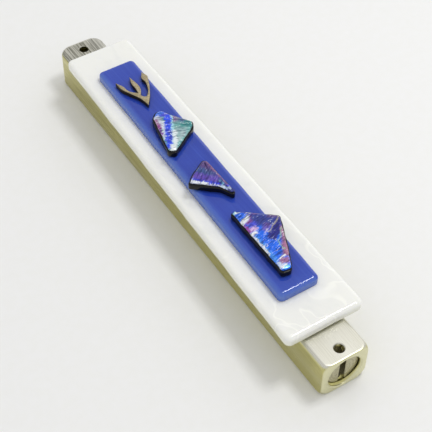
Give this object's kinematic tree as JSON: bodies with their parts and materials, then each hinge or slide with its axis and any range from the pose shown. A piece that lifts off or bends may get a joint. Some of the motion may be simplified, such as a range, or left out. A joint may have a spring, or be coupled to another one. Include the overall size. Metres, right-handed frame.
{
  "type": "mezuzah case",
  "caption": "Door-post parchment case: bored aluminium bar with slotted screw plug, fused white and blue glass front, dichroic chips and a brass letter.",
  "frame": {"origin": "centre of the flat back of the case bar", "axes": "+Z out of the decorated front, +Y along the bar to its upper end, +X to the right seen from the front; the case lies on its back"},
  "size_m": [0.0254, 0.15, 0.0225],
  "materials": {
    "case_aluminium": "brushed along the bar and lightly tinted on the sides",
    "plug_aluminium": "turned",
    "seal_rubber": "matt",
    "parchment": "scraped skin, matt",
    "clear_film": "clear film",
    "bond_adhesive": "satin silicone",
    "opal_glass": "fire polished opal",
    "blue_glass": "fire polished cobalt opal",
    "letter_brass": "antiqued",
    "black_glass": "fire polished",
    "dichroic_glass": "textured metal-oxide coat that shifts between blue, violet, pink and green"
  },
  "bodies": {
    "case": {"case_body": "case_aluminium", "glass_bond_pad": "bond_adhesive", "white_glass_plate": "opal_glass", "blue_glass_plate": "blue_glass", "shin_letter": "letter_brass", "chip_upper_base": "black_glass", "chip_upper_dichroic": "dichroic_glass", "chip_middle_base": "black_glass", "chip_middle_dichroic": "dichroic_glass", "chip_lower_base": "black_glass", "chip_lower_dichroic": "dichroic_glass"},
    "seal": {"plug_seal": "seal_rubber"},
    "plug": {"screw_plug": "plug_aluminium"},
    "scroll": {"parchment_scroll": "parchment", "scroll_sleeve": "clear_film"}
  },
  "joints": [
    {"name": "plug_withdraw", "type": "slide", "parent": "case", "child": "seal", "axis": [0, -1, 0], "range_m": [0, 0.15]},
    {"name": "plug_turn", "type": "hinge", "parent": "seal", "child": "plug", "pos_m": [0, -0.0648, 0.00655], "axis": [0, -1, 0], "range_deg": [0, 36000]},
    {"name": "scroll_withdraw", "type": "slide", "parent": "case", "child": "scroll", "axis": [0, -1, 0], "range_m": [0, 0.144]}
  ],
  "couplings": [
    {"joint": "plug_turn", "follows": "plug_withdraw", "rad_per_m": 4188.8},
    {"joint": "scroll_withdraw", "follows": "plug_withdraw", "ratio": 0.96}
  ]
}
